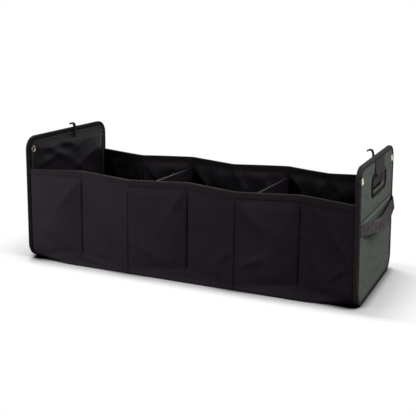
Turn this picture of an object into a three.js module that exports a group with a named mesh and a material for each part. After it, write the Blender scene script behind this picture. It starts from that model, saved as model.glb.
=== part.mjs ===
// Folding car trunk organizer: three open compartments between two tall padded end panels.
// Millimetres, +Z up, length along X, front wall on -Y, origin under the middle of the base.

import * as THREE from 'three';

// Driving dimensions of the whole organizer
const length = 800; // over the bindings of the two end panels
const width = 340; // over the side bindings of an end panel
const panelHeight = 292; // an end panel, over its bindings
const wallHeight = 217; // top of the front and back walls
const dividerHeight = 190;
const compartments = 3;

// The right end panel stands a little askew, as soft panels do
const rightPanelTurn = 2.7; // degrees about Z, which draw its back edge in
const rightPanelLean = 1.6; // degrees that its top leans in
const rightPanelFlare = 4; // how far its front foot stands out

// Layers
const gap = 0.3; // between two layers that lie on each other
const cloth = 1; // wall, floor and divider cloth
const coverCloth = 1.2; // ribbed cloth on the outside of an end panel
const tape = 1.2; // binding tape
const panelBoard = 5; // padded stiffener in an end panel
const wallBoard = 2.4; // stiffener in a wall or a divider
const baseBoard = 3;

// End panels
const topCornerRadius = 32;
const bottomCornerRadius = 38;
const outerTapeWidth = 10; // binding, on the outer face
const innerTapeWidth = 10; // binding, on the inner face
const seamHeight = 178; // where the upper and lower cover cloths meet
const eyeletInset = 18.5; // eyelet centre from the side edge
const eyeletDrop = 30; // eyelet centre below the top edge
const eyeletBore = 10;
const eyeletFlange = 15;
const eyeletWall = 0.8;
const handHoleWidth = 130;
const handHoleShift = 10; // its middle lies this far behind the middle of the panel
const handHoleDrop = 42; // top of the hand hole below the top edge
const handHoleHeight = 34;
const handHoleRadius = 12;
const rimWidth = 8; // rolled binding round the hand hole
const rimHeight = 3;
const gripBandWidth = 90;
const gripBandThickness = 1.6;
const gripBandTail = 30; // how far the band hangs into the hand hole
const strapWidth = 25;
const strapThickness = 2;
const strapDrop = 3; // top edge of the carry strap below the seam
const leftStrapSlack = 19.3; // how far the strap stands off the panel
const rightStrapSlack = 25;
const tabWidth = 10;
const tabThickness = 2.4;
const tabLength = 24; // sewn stretch of the closure tab below the top edge
const tabRise = 15; // how far the tab stands over the top edge
const leftTabPlace = 19; // the tab's middle behind the middle of the panel
const rightTabPlace = 3;

// Walls, dividers and base
const wallInset = 3; // the walls stand this far inside the edges of the end panels
const foldDepth = 40; // how far every second fold is drawn into the organizer
const gussetRise = 6; // how far the cloth lifts off the base under such a fold
const gussetThickness = 0.7; // share of the cloth's thickness that lies below a gusset
const hemWidth = 13; // binding along the top of a wall
const boardMargin = 6; // cloth left free between a board and a fold
const frontFoldShift = [-15, 0, 2]; // the inward folds stand this far from mid-compartment
const backFoldShift = [6, 0, -16];

// Fineness of the round forms
const cornerSteps = 8;
const eyeletSteps = 20;
const strapSteps = 26;
const footRows = 4; // rows of points round the foot of a wall sheet, an even number

// Heights and depths that follow
const innerFace = length / 2 - 2 * tape - coverCloth - panelBoard - cloth - 4 * gap;
const liningFace = innerFace + tape + gap;
const boardFace = liningFace + cloth + gap;
const coverFace = boardFace + panelBoard + gap;
const tapeFace = coverFace + coverCloth + gap;
const outerFace = tapeFace + tape;
const eyeletHeight = panelHeight - eyeletDrop;
const eyeletSide = width / 2 - eyeletInset;
const handHoleHigh = panelHeight - handHoleDrop;
const handHoleLow = handHoleHigh - handHoleHeight;
const strapHigh = seamHeight - strapDrop;
const baseTop = 2 * cloth + baseBoard + 2 * gap;
const wallFoot = baseTop + gap;
const wallKnee = wallFoot + cloth; // the outer cloth turns from the hem into the gussets here
const span = 2 * (innerFace - gap);
const panels = 2 * compartments;
const panelPitch = span / panels;
const slant = Math.cos(Math.atan2(foldDepth, panelPitch)); // of a wall panel to the length
const boardDepth = cloth + gap;
const liningDepth = boardDepth + wallBoard + gap;
const wallDepth = liningDepth + cloth;
const turn = THREE.MathUtils.degToRad(rightPanelTurn);
const lean = THREE.MathUtils.degToRad(rightPanelLean);

// How far the right end panel's inner face stands in from where a straight one would stand
function drawnIn(y, z) {
  return (y + width / 2) * Math.tan(turn) + z * Math.tan(lean) / Math.cos(turn) - rightPanelFlare;
}

const finish = (color, roughness, metalness = 0) => (
  new THREE.MeshStandardMaterial({ color, roughness, metalness })
);
const materials = {
  ribbedCloth: () => finish(0x50574f, 0.95),
  blackCloth: () => finish(0x1b191d, 0.85),
  lining: () => finish(0x141315, 0.8),
  binding: () => finish(0x2c2826, 0.9),
  webbing: () => finish(0x3a3537, 0.9),
  gripBand: () => finish(0x3b3b3d, 0.8),
  eyelet: () => finish(0xb8a97c, 0.35, 1),
  board: () => finish(0x4a4a48, 0.8),
};

// Makes one closed mesh from points and triangles, with its faces turned outwards
function solid(points, triangles) {
  let volume = 0;
  const cross = new THREE.Vector3();
  for (const [a, b, c] of triangles) {
    volume += points[a].dot(cross.crossVectors(points[b], points[c]));
  }
  const outward = volume > 0 ? triangles : triangles.map(([a, b, c]) => [a, c, b]);
  const geometry = new THREE.BufferGeometry().setFromPoints(points);
  geometry.setIndex(outward.flat());
  geometry.computeVertexNormals();
  return geometry;
}

// Triangles that close a flat outline, wound in the outline's own order
function capTriangles(outline) {
  const winding = Math.sign(THREE.ShapeUtils.area(outline));
  return THREE.ShapeUtils.triangulateShape(outline, []).map(([a, b, c]) => {
    const area = THREE.ShapeUtils.area([outline[a], outline[b], outline[c]]);
    return Math.sign(area) === winding ? [a, b, c] : [a, c, b];
  });
}

// Carries an outline through stations; place(corner, station) gives each corner's point.
// A closed run joins its last station to its first and has no end caps.
function carry(outline, stations, place, closed = false) {
  const count = outline.length;
  const points = stations.flatMap((station) => outline.map((corner) => place(corner, station)));
  const triangles = [];
  const runs = closed ? stations.length : stations.length - 1;
  for (let run = 0; run < runs; run += 1) {
    const here = run * count;
    const next = ((run + 1) % stations.length) * count;
    for (let k = 0; k < count; k += 1) {
      const after = (k + 1) % count;
      triangles.push([here + k, next + k, next + after], [here + k, next + after, here + after]);
    }
  }
  if (!closed) {
    const last = (stations.length - 1) * count;
    for (const [a, b, c] of capTriangles(outline)) {
      triangles.push([a, b, c], [last + a, last + c, last + b]);
    }
  }
  return solid(points, triangles);
}

// Outline of a band of one thickness whose middle line runs through the given points
function ribbon(middle, thickness) {
  const offset = (index, side) => {
    const before = middle[Math.max(index - 1, 0)];
    const after = middle[Math.min(index + 1, middle.length - 1)];
    const along = after.clone().sub(before).normalize();
    const across = new THREE.Vector2(-along.y, along.x).multiplyScalar(side * thickness / 2);
    return middle[index].clone().add(across);
  };
  const left = middle.map((point, index) => offset(index, 1));
  const right = middle.map((point, index) => offset(index, -1)).reverse();
  return [...left, ...right];
}

// Points round a rounded rectangle in Y and Z, with its own radius at the bottom and at the top
function roundedLoop(half, low, high, lowRadius, highRadius) {
  const corners = [
    [half, low, lowRadius, -1, 1],
    [half, high, highRadius, 0, -1],
    [-half, high, highRadius, 1, -1],
    [-half, low, lowRadius, 2, 1],
  ];
  return corners.flatMap(([y, z, radius, quarter, up]) => {
    const centre = new THREE.Vector2(y - Math.sign(y) * radius, z + up * radius);
    const steps = radius > 0 ? cornerSteps : 0;
    return Array.from({ length: steps + 1 }, (unused, step) => {
      const angle = (quarter + (steps > 0 ? step / steps : 0)) * Math.PI / 2;
      return new THREE.Vector2(radius * Math.cos(angle), radius * Math.sin(angle)).add(centre);
    });
  });
}

// End panel outline, drawn in from its edge, between two heights
function panelLoop(inset, low = 0, high = panelHeight) {
  return roundedLoop(
    width / 2 - inset,
    low > 0 ? low : inset,
    high < panelHeight ? high : panelHeight - inset,
    low > 0 ? 0 : bottomCornerRadius - inset,
    high < panelHeight ? 0 : topCornerRadius - inset,
  );
}

// Hand hole outline, grown outwards by a margin
function handHoleLoop(margin) {
  const radius = handHoleRadius + margin;
  const middle = new THREE.Vector2(handHoleShift, 0);
  return roundedLoop(
    handHoleWidth / 2 + margin, handHoleLow - margin, handHoleHigh + margin, radius, radius,
  ).map((point) => point.add(middle));
}

function circlePath(centreY, centreZ, radius) {
  const path = new THREE.Path();
  path.absarc(centreY, centreZ, radius, 0, 2 * Math.PI, true);
  return path;
}

// Flat plate with an outline in Y and Z, between two faces along X
function plate(outline, holes, from, to) {
  const shape = new THREE.Shape(outline);
  shape.holes = holes;
  const geometry = new THREE.ExtrudeGeometry(shape, {
    depth: Math.abs(to - from),
    bevelEnabled: false,
    curveSegments: eyeletSteps,
  });
  const axes = new THREE.Matrix4().makeBasis(
    new THREE.Vector3(0, 1, 0), new THREE.Vector3(0, 0, 1), new THREE.Vector3(1, 0, 0),
  );
  return geometry.applyMatrix4(axes).translate(Math.min(from, to), 0, 0);
}

const organizer = new THREE.Group();
organizer.name = 'car_trunk_organizer';

function add(group, name, geometry, material) {
  const mesh = new THREE.Mesh(geometry, material);
  mesh.name = name;
  group.add(mesh);
}

// One end panel, standing straight; side is 1 on the right, at +X, and -1 on the left
function endPanel(name, side, strapSlack, tabPlace) {
  const group = new THREE.Group();
  const edge = tape + gap;
  const layer = (outline, holes, from, to) => plate(outline, holes, side * from, side * to);
  const eyeletHoles = () => [-1, 1].map((end) => (
    circlePath(end * eyeletSide, eyeletHeight, eyeletBore / 2 + eyeletWall + gap)
  ));
  const handHole = () => new THREE.Path(handHoleLoop(tape + gap));

  add(group, `${name}_board`, layer(
    panelLoop(edge), [handHole(), ...eyeletHoles()], boardFace, boardFace + panelBoard,
  ), materials.board());
  add(group, `${name}_cover_lower`, layer(
    panelLoop(edge, 0, seamHeight - gap / 2), [], coverFace, coverFace + coverCloth,
  ), materials.ribbedCloth());
  add(group, `${name}_cover_upper`, layer(
    panelLoop(edge, seamHeight + gap / 2), [handHole(), ...eyeletHoles()],
    coverFace, coverFace + coverCloth,
  ), materials.ribbedCloth());
  add(group, `${name}_lining`, layer(
    panelLoop(edge), eyeletHoles(), liningFace, liningFace + cloth,
  ), materials.lining());

  // Tape folded over the edge of the panel: x of a corner is its way in from the edge
  const tapeSection = [
    [innerTapeWidth, innerFace], [0, innerFace], [0, outerFace], [outerTapeWidth, outerFace],
    [outerTapeWidth, tapeFace], [tape, tapeFace], [tape, liningFace - gap],
    [innerTapeWidth, liningFace - gap],
  ].map(([inset, x]) => new THREE.Vector2(inset, x));
  const edgeLoops = new Map(tapeSection.map((corner) => [corner.x, panelLoop(corner.x)]));
  add(group, `${name}_edge_binding`, carry(
    tapeSection,
    [...panelLoop(0).keys()],
    (corner, at) => {
      const point = edgeLoops.get(corner.x)[at];
      return new THREE.Vector3(side * corner.y, point.x, point.y);
    },
    true,
  ), materials.binding());

  // Rolled tape round the hand hole: x of a corner is its way out from the hole
  const rimFace = tapeFace + rimHeight;
  const rimSection = [
    [0, boardFace], [0, tapeFace + rimHeight / 2], [rimWidth / 4, rimFace],
    [rimWidth * 0.75, rimFace], [rimWidth, tapeFace + rimHeight / 2], [rimWidth, tapeFace],
    [tape, tapeFace], [tape, boardFace],
  ].map(([margin, x]) => new THREE.Vector2(margin, x));
  const rimLoops = new Map(rimSection.map((corner) => [corner.x, handHoleLoop(corner.x)]));
  add(group, `${name}_hand_hole_rim`, carry(
    rimSection,
    [...handHoleLoop(0).keys()],
    (corner, at) => {
      const point = rimLoops.get(corner.x)[at];
      return new THREE.Vector3(side * corner.y, point.x, point.y);
    },
    true,
  ), materials.binding());

  // Band from the top binding over the grip and into the hand hole
  const lift = gap + gripBandThickness / 2 + gap;
  const bandPath = [
    [tapeFace + lift, panelHeight - outerTapeWidth - gap],
    [tapeFace + lift, handHoleHigh + rimWidth + 2 * lift],
    [rimFace + lift, handHoleHigh + rimWidth * 0.75 + lift],
    [rimFace + lift, handHoleHigh + rimWidth * 0.25],
    [tapeFace + rimHeight / 2 + lift, handHoleHigh - lift],
    [boardFace + 2 * lift, handHoleHigh - lift],
    [boardFace + lift, handHoleHigh - 2 * lift],
    [boardFace + lift, handHoleHigh - gripBandTail],
  ].map(([x, z]) => new THREE.Vector2(x, z));
  add(group, `${name}_grip_band`, carry(
    ribbon(bandPath, gripBandThickness),
    [handHoleShift - gripBandWidth / 2, handHoleShift + gripBandWidth / 2],
    (corner, y) => new THREE.Vector3(side * corner.x, y, corner.y),
  ), materials.gripBand());

  // Eyelets through the whole panel: x of a corner is its distance from the eyelet's axis
  const bore = eyeletBore / 2;
  const flange = eyeletFlange / 2;
  const backSeat = liningFace - gap;
  const eyeletSection = [
    [bore, backSeat - eyeletWall], [flange, backSeat - eyeletWall], [flange, backSeat],
    [bore + eyeletWall, backSeat], [bore + eyeletWall, tapeFace], [flange, tapeFace],
    [flange, tapeFace + eyeletWall], [bore, tapeFace + eyeletWall],
  ].map(([radius, x]) => new THREE.Vector2(radius, x));
  for (const [place, end] of [['front', -1], ['back', 1]]) {
    add(group, `${name}_eyelet_${place}`, carry(
      eyeletSection,
      Array.from({ length: eyeletSteps }, (unused, step) => 2 * Math.PI * step / eyeletSteps),
      (corner, angle) => new THREE.Vector3(
        side * corner.y,
        end * eyeletSide + corner.x * Math.cos(angle),
        eyeletHeight + corner.x * Math.sin(angle),
      ),
      true,
    ), materials.eyelet());
  }

  // Slack carry strap, sewn down over the side bindings
  const strapSeat = outerFace + gap + strapThickness / 2;
  const strapEnd = width / 2 - gap;
  const strapLine = new THREE.SplineCurve([
    [-1, 0], [-0.94, 0.02], [-0.68, 0.5], [-0.34, 1], [0.1, 0.82], [0.55, 0.55],
    [0.84, 0.38], [0.96, 0.03], [1, 0],
  ].map(([along, slack]) => new THREE.Vector2(along * strapEnd, strapSeat + slack * strapSlack)));
  const strapMiddle = strapLine.getPoints(strapSteps);
  strapMiddle.forEach((point) => point.setY(Math.max(point.y, strapSeat)));
  add(group, `${name}_carry_strap`, carry(
    ribbon(strapMiddle, strapThickness),
    [strapHigh - strapWidth, strapHigh],
    (corner, z) => new THREE.Vector3(side * corner.y, corner.x, z),
  ), materials.webbing());

  // Closure tab sewn to the lining, which stands over the top edge and curls to the left
  const tabSeat = innerFace - 2 * gap - tabThickness / 2;
  const curl = side > 0 ? -1 : 1;
  const tabLine = new THREE.SplineCurve([
    [0, -tabLength], [0, -tabLength / 2], [0, 0], [0.3 * curl, tabRise * 0.6],
    [0.62 * curl, tabRise], [1.2 * curl, tabRise * 0.95],
  ].map(([lean, rise]) => new THREE.Vector2(tabSeat + lean * tabRise, panelHeight + rise)));
  add(group, `${name}_closure_tab`, carry(
    ribbon(tabLine.getPoints(cornerSteps * 2), tabThickness),
    [tabPlace - tabWidth / 2, tabPlace + tabWidth / 2],
    (corner, y) => new THREE.Vector3(side * corner.x, y, corner.y),
  ), materials.webbing());

  return group;
}

// Stands a right end panel askew on the lower end of its front edge
function askew(panel) {
  const leaning = new THREE.Group().add(panel);
  leaning.rotation.y = -lean;
  panel.position.set(-innerFace, width / 2, 0);
  const turned = new THREE.Group().add(leaning);
  turned.rotation.z = turn;
  turned.position.set(innerFace + rightPanelFlare, -width / 2, 0);
  return turned;
}

// The folds of one wall, from the left end panel to the right one; side is -1 in front
function wallFolds(side) {
  const shifts = side < 0 ? frontFoldShift : backFoldShift;
  return Array.from({ length: panels + 1 }, (unused, index) => {
    const inward = index % 2 === 1;
    return {
      x: -span / 2 + index * panelPitch + (inward ? shifts[(index - 1) / 2] ?? 0 : 0),
      depth: inward ? foldDepth : 0,
      crease: wallKnee + cloth + (inward ? gussetRise : 0),
      rounded: false,
      slope: index === panels ? foldDepth / (panelPitch - (shifts[compartments - 1] ?? 0)) : 0,
    };
  });
}

// A place between two folds, at a share of the way
function between(fold, next, share) {
  return {
    x: THREE.MathUtils.lerp(fold.x, next.x, share),
    depth: THREE.MathUtils.lerp(fold.depth, next.depth, share),
    crease: THREE.MathUtils.lerp(fold.crease, next.crease, share),
    rounded: false,
    slope: 0,
  };
}

// Stations of a wall sheet: its folds, and the places where its foot starts to round
// off towards the end panels
function sheetStations(folds) {
  const last = folds.length - 1;
  const turn = (fold, next) => between(fold, next, bottomCornerRadius / Math.abs(next.x - fold.x));
  return [
    { ...folds[0], rounded: true },
    turn(folds[0], folds[1]),
    ...folds.slice(1, last),
    turn(folds[last], folds[last - 1]),
    { ...folds[last], rounded: true },
  ];
}

// How much of a wall's last panel is cut off where it meets the right end panel, along X.
// Only the last fold has a slope: what its panel gains in depth for each millimetre cut off.
function cutOff(side, fold, depth, z) {
  const y = side * (width / 2 - wallInset - depth / slant);
  return fold.slope > 0 ? drawnIn(y, z) / (1 + side * fold.slope * Math.tan(turn)) : 0;
}

// Point of a wall at a fold, so deep behind its outer face and so high
function wallPoint(side, fold, depth, z) {
  const cut = cutOff(side, fold, depth, z);
  const y = width / 2 - wallInset - fold.depth - cut * fold.slope - depth / slant;
  return new THREE.Vector3(fold.x - cut, side * y, z);
}

// Point of a wall sheet's foot where it follows the rounded corner of an end panel
function roundedPoint(side, fold, depth, foot, share) {
  const angle = share * Math.PI / 2;
  const z = bottomCornerRadius - (bottomCornerRadius - foot) * Math.cos(angle);
  const inset = wallInset + depth / slant + cutOff(side, fold, depth, z) * fold.slope;
  const y = side * (width / 2 - bottomCornerRadius + (bottomCornerRadius - inset) * Math.sin(angle));
  return new THREE.Vector3(fold.slope > 0 ? fold.x - drawnIn(y, z) : fold.x, y, z);
}

// Outline of a sheet in rows from its foot to its top, on both faces
const sheetOutline = [
  ...Array.from({ length: footRows + 2 }, (unused, row) => new THREE.Vector2(0, row)),
  ...Array.from({ length: footRows + 2 }, (unused, row) => new THREE.Vector2(1, footRows + 1 - row)),
];

// Outer cloth of a wall, one sheet: hem over the base, gussets, then the folded panels
function wallCloth(side, folds) {
  const top = wallHeight - tape - gap;
  const half = footRows / 2;
  const point = (corner, fold) => {
    const row = corner.y;
    const depth = corner.x * cloth;
    if (row > footRows) {
      return wallPoint(side, fold, depth, top);
    }
    if (fold.rounded) {
      return roundedPoint(side, fold, depth, gap + depth, row / footRows);
    }
    if (row < half) {
      return wallPoint(side, { ...fold, depth: 0 }, depth, THREE.MathUtils.lerp(gap, wallKnee, row / half));
    }
    const up = (row - half) / half;
    const z = THREE.MathUtils.lerp(wallKnee, fold.crease, up) - depth * gussetThickness;
    return wallPoint(side, { ...fold, depth: fold.depth * up }, depth, z);
  };
  return carry(sheetOutline, sheetStations(folds), point);
}

// Lining of a wall, one sheet from the floor to the top binding
function wallLining(side, folds) {
  const point = (corner, fold) => {
    const row = corner.y;
    const depth = liningDepth + corner.x * cloth;
    if (row > footRows) {
      return wallPoint(side, fold, depth, wallHeight - tape - gap);
    }
    if (fold.rounded) {
      return roundedPoint(side, fold, depth, wallFoot + corner.x * cloth, row / footRows);
    }
    const z = THREE.MathUtils.lerp(wallFoot, bottomCornerRadius, row / footRows);
    return wallPoint(side, fold, depth, z);
  };
  return carry(sheetOutline, sheetStations(folds), point);
}

// Binding folded over the top edge of a wall: x of a corner is its depth behind the cloth
function wallHem(side, folds) {
  const low = wallHeight - hemWidth;
  const crown = wallHeight - tape;
  const outline = [
    [-gap - tape, low], [-gap - tape, wallHeight], [wallDepth + gap + tape, wallHeight],
    [wallDepth + gap + tape, low], [wallDepth + gap, low], [wallDepth + gap, crown],
    [-gap, crown], [-gap, low],
  ].map(([depth, z]) => new THREE.Vector2(depth, z));
  return carry(outline, folds, (corner, fold) => wallPoint(side, fold, corner.x, corner.y));
}

// Stiffener between two folds, its foot following the crease
function wallStiffener(side, fold, next) {
  const share = boardMargin / (next.x - fold.x);
  const outline = [[0, 0], [0, 1], [1, 1], [1, 0]].map(([u, v]) => new THREE.Vector2(u, v));
  const top = wallHeight - tape - 2 * gap;
  return carry(outline, [share, 1 - share], (corner, along) => {
    const foot = THREE.MathUtils.lerp(fold.crease, next.crease, along) + boardMargin;
    const depth = boardDepth + corner.x * wallBoard;
    const z = corner.y ? top : foot;
    return wallPoint(side, fold, depth, z).lerp(wallPoint(side, next, depth, z), along);
  });
}

function wall(name, side) {
  const group = new THREE.Group();
  const folds = wallFolds(side);
  add(group, `${name}_cloth`, wallCloth(side, folds), materials.blackCloth());
  add(group, `${name}_lining`, wallLining(side, folds), materials.lining());
  add(group, `${name}_top_binding`, wallHem(side, folds), materials.binding());
  const raised = folds.map((fold, index) => (
    index % panels === 0 ? { ...fold, crease: bottomCornerRadius } : fold
  ));
  for (let index = 0; index < panels; index += 1) {
    add(group, `${name}_board_${index + 1}`, wallStiffener(side, raised[index], raised[index + 1]),
      materials.board());
  }
  organizer.add(group);
}

// Divider between two compartments: a board in a cloth sleeve that is folded over its top
function divider(name, x) {
  const group = new THREE.Group();
  const half = wallBoard / 2 + gap + cloth;
  const narrowing = (foldDepth / panelPitch) * half * 2;
  const reach = width / 2 - wallInset - (wallDepth + narrowing) / slant - gap - tape;
  const box = (low, high, thickness) => carry(
    [[-thickness, low], [-thickness, high], [thickness, high], [thickness, low]]
      .map(([across, z]) => new THREE.Vector2(across, z)),
    [-reach, reach],
    (corner, y) => new THREE.Vector3(x + corner.x, y, corner.y),
  );
  const inner = half - cloth;
  const crown = dividerHeight - cloth;
  const sleeve = [
    [-half, wallFoot], [-half, dividerHeight], [half, dividerHeight], [half, wallFoot],
    [inner, wallFoot], [inner, crown], [-inner, crown], [-inner, wallFoot],
  ].map(([across, z]) => new THREE.Vector2(across, z));
  add(group, `${name}_board`, box(wallFoot, crown - gap, wallBoard / 2), materials.board());
  add(group, `${name}_sleeve`, carry(
    sleeve, [-reach, reach], (corner, y) => new THREE.Vector3(x + corner.x, y, corner.y),
  ), materials.lining());
  organizer.add(group);
}

// Flat layer of the base between two places along X, cut off at the end panels' round corners.
// Its right end follows the right end panel.
function baseLayer(from, to, low, thickness, half) {
  const straight = span / 2 - bottomCornerRadius;
  const cut = wallInset + bottomCornerRadius - (width / 2 - half);
  const stops = [from, ...[-straight, straight].filter((x) => x > from && x < to), to];
  const corner = (x, side) => {
    const past = Math.max(Math.abs(x) - straight, 0);
    const y = side * (half - cut * past / bottomCornerRadius);
    return new THREE.Vector2(x > straight ? x - drawnIn(y, low + thickness) : x, y);
  };
  const outline = [
    ...stops.map((x) => corner(x, -1)),
    ...stops.reverse().map((x) => corner(x, 1)),
  ];
  const geometry = new THREE.ExtrudeGeometry(new THREE.Shape(outline), {
    depth: thickness,
    bevelEnabled: false,
  });
  return geometry.translate(0, 0, low);
}

// Base: a cloth underside, one stiffener under each pair of wall panels, and the floor cloth
function base() {
  const group = new THREE.Group();
  const half = width / 2 - wallInset - cloth / slant - gap;
  const end = span / 2;
  add(group, 'base_cloth', baseLayer(-end, end, 0, cloth, half), materials.blackCloth());
  for (let index = 0; index < panels; index += 1) {
    const from = -end + index * panelPitch + boardMargin / 2;
    const to = from + panelPitch - boardMargin;
    add(group, `base_board_${index + 1}`,
      baseLayer(from, to, cloth + gap, baseBoard, half - boardMargin), materials.board());
  }
  add(group, 'floor_lining',
    baseLayer(-end, end, baseTop - cloth, cloth, half), materials.lining());
  organizer.add(group);
}

organizer.add(endPanel('left_panel', -1, leftStrapSlack, leftTabPlace));
organizer.add(askew(endPanel('right_panel', 1, rightStrapSlack, rightTabPlace)));
wall('front_wall', -1);
wall('back_wall', 1);
for (let index = 1; index < compartments; index += 1) {
  divider(`divider_${index}`, -span / 2 + index * span / compartments);
}
base();

export default organizer;
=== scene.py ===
# %% [markdown]
# # A folding trunk organizer, dressed cell by cell
#
# The organizer is a long open box of black cloth between two tall padded end panels. The packed
# model gives the construction. This lesson adds what the eye wants: soft creases, ribbed tape,
# webbing, stitches and woven cloth. Each surface is a grid of points worked out with numpy, so a
# shape is a formula that can be read and changed, and the mesh is only its last step.

# %% Load the packed model
import math

import bpy
import numpy as np
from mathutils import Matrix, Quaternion, Vector


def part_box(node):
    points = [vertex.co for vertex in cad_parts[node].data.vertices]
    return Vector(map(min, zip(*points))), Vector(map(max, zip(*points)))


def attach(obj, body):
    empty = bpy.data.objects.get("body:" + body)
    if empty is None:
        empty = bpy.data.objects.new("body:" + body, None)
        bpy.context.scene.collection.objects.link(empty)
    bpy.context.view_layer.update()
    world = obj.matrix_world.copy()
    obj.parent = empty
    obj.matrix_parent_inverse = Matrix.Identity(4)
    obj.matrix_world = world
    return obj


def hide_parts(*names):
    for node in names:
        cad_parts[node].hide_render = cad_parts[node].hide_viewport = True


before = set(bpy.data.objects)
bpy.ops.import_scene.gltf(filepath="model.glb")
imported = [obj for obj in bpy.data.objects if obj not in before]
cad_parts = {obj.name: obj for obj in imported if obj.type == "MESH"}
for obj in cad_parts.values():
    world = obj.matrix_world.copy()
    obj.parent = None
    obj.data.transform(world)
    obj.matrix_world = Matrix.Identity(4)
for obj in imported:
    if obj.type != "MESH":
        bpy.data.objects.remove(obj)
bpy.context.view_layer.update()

# %% [markdown]
# ## Sizes
#
# Sizes are read from the packed model's boxes, so the looks follow the construction. The left end
# panel stands straight, so its boxes give the layers of both panels, counted out from the middle.

# %% Sizes read from the packed model
MM = 0.001


def extent(node, axis):
    """Lowest and highest place of a node along one axis."""
    return [end["xyz".index(axis)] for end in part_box(node)]


def layer(node):
    """Inner and outer face of a layer of the left end panel, as distances out from the middle."""
    low, high = extent(node, "x")
    return -high, -low


INNER, OUTER = layer("left_panel_edge_binding")
LINING_FACE = layer("left_panel_lining")[0]
BOARD_FACE = layer("left_panel_board")[0]
COVER_FACE = layer("left_panel_cover_lower")[1]
HALF_WIDTH, PANEL_HEIGHT = (extent("left_panel_edge_binding", axis)[1] for axis in "yz")
SEAM = extent("left_panel_cover_lower", "z")[1]
HEM_LOW, WALL_TOP = extent("front_wall_top_binding", "z")
STRAP_LOW, STRAP_HIGH = extent("left_panel_carry_strap", "z")
FLOOR = extent("floor_lining", "z")[1]
print("panel", round(2 * HALF_WIDTH, 3), "by", round(PANEL_HEIGHT, 3), "m, walls", round(WALL_TOP, 3), "m")

# %% Sizes chosen for the cloth
CLOTH, TAPE, GAP = 1 * MM, 1.2 * MM, 0.3 * MM
TOP_RADIUS, BOTTOM_RADIUS = 32 * MM, 38 * MM
TURN, LEAN, FLARE = math.radians(2.7), math.radians(1.6), 4 * MM
LEFT, RIGHT = FRONT, BACK = -1, 1
SIDES = {"left_panel": LEFT, "right_panel": RIGHT}
WALLS = {"front_wall": FRONT, "back_wall": BACK}
print("cloth", CLOTH / MM, "mm, tape", TAPE / MM, "mm")

# %% [markdown]
# ## From points to a mesh
#
# A grid of points becomes quads by joining each point to its neighbours. Cloth has a thickness, so
# a sheet is a shell: two grids and a narrow wall round every open edge. The signed volume says
# which way the faces point.

# %% Quads and the mesh itself
def cells(rows, cols, wrap_rows=False, wrap_cols=False):
    """Quads of a grid: point (r, c) is joined to (r, c+1), (r+1, c+1) and (r+1, c)."""
    r, c = np.meshgrid(np.arange(rows - (not wrap_rows)), np.arange(cols - (not wrap_cols)), indexing="ij")
    corners = [(r, c), (r, c + 1), (r + 1, c + 1), (r + 1, c)]
    faces = np.stack([(a % rows) * cols + b % cols for a, b in corners], -1).reshape(-1, 4)
    places = np.stack([np.stack(pair, -1) for pair in corners], -2).reshape(-1, 4, 2)
    return faces, places


def make_mesh(name, points, faces, uv, material, sharp=50):
    """Closed mesh with its faces outwards: the volume is the sum of a . (b x c) / 6 over triangles."""
    used, index = np.unique(faces, return_inverse=True)
    points = np.asarray(points, float).reshape(-1, 3)[used]
    faces = index.reshape(faces.shape)
    a, b, c, d = (points[faces[:, k]] for k in range(4))
    if np.sum(a * np.cross(b, c)) + np.sum(a * np.cross(c, d)) < 0:
        faces = faces[:, ::-1]
        uv = uv[:, ::-1]
    data = bpy.data.meshes.new(name)
    data.from_pydata(points.tolist(), [], faces.tolist())
    data.uv_layers.new(name="Cloth").data.foreach_set("uv", np.ascontiguousarray(uv, np.float32).ravel())
    data.shade_smooth()
    data.set_sharp_from_angle(angle=math.radians(sharp))
    data.materials.append(material)
    piece = bpy.data.objects.new(name, data)
    bpy.context.scene.collection.objects.link(piece)
    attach(piece, "root")
    return piece


def stand_in(piece, node=None):
    """Hides the packed node that a piece replaces, unless it is an extra."""
    if node:
        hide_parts(node)
    return piece


# %% Sheets with two faces, and closed sections carried along a path
def lengths(points, axis, closed=False):
    """Distance along a grid's rows or columns, averaged over the other direction."""
    if closed:
        points = np.concatenate([points, np.take(points, [0], axis)], axis)
    steps = np.linalg.norm(np.diff(points, axis=axis), axis=2).mean(axis=1 - axis)
    return np.append(0, np.cumsum(steps))


def shell(name, front, back, material, keep=None, sharp=50):
    """Closed sheet between two grids: both faces, and a wall along each edge that only one cell uses."""
    faces, places = cells(*front.shape[:2])
    count = front.shape[0] * front.shape[1]
    if keep is not None:
        faces = faces[keep.ravel()]
        places = places[keep.ravel()]
    uv = np.stack([lengths(front, 1)[places[..., 1]], lengths(front, 0)[places[..., 0]]], -1)
    edges = np.stack([faces, np.roll(faces, -1, 1)], -1).reshape(-1, 2)
    edge_uv = np.stack([uv, np.roll(uv, -1, 1)], 2).reshape(-1, 2, 2)
    alone = ~np.isin(edges @ (count, 1), edges @ (1, count))
    rim = edges[alone]
    walls = np.stack([rim[:, 1], rim[:, 0], rim[:, 0] + count, rim[:, 1] + count], -1)
    points = np.concatenate([front.reshape(-1, 3), back.reshape(-1, 3)])
    faces = np.concatenate([faces, faces[:, ::-1] + count, walls])
    uv = np.concatenate([uv, uv[:, ::-1], edge_uv[alone][:, [1, 0, 0, 1]]])
    return make_mesh(name, points, faces, uv, material, sharp)


def carried(name, points, material, closed=False, sharp=50):
    """Grid of stations by section points: the section closes on itself, the path may close too."""
    stations, count = points.shape[:2]
    faces, places = cells(stations, count, closed, True)
    along, around = lengths(points, 0, closed), lengths(points, 1, True)
    uv = np.stack([along[places[..., 0]], around[places[..., 1]]], -1)
    if not closed:
        pairs = np.arange(count // 2 - 1)
        cap = np.stack([pairs, pairs + 1, count - 2 - pairs, count - 1 - pairs], -1)
        faces = np.concatenate([faces, cap[:, ::-1], cap + (stations - 1) * count])
        uv = np.concatenate([uv, np.zeros((2 * len(cap), 4, 2))])
    return make_mesh(name, points, faces, uv, material, sharp)


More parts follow.
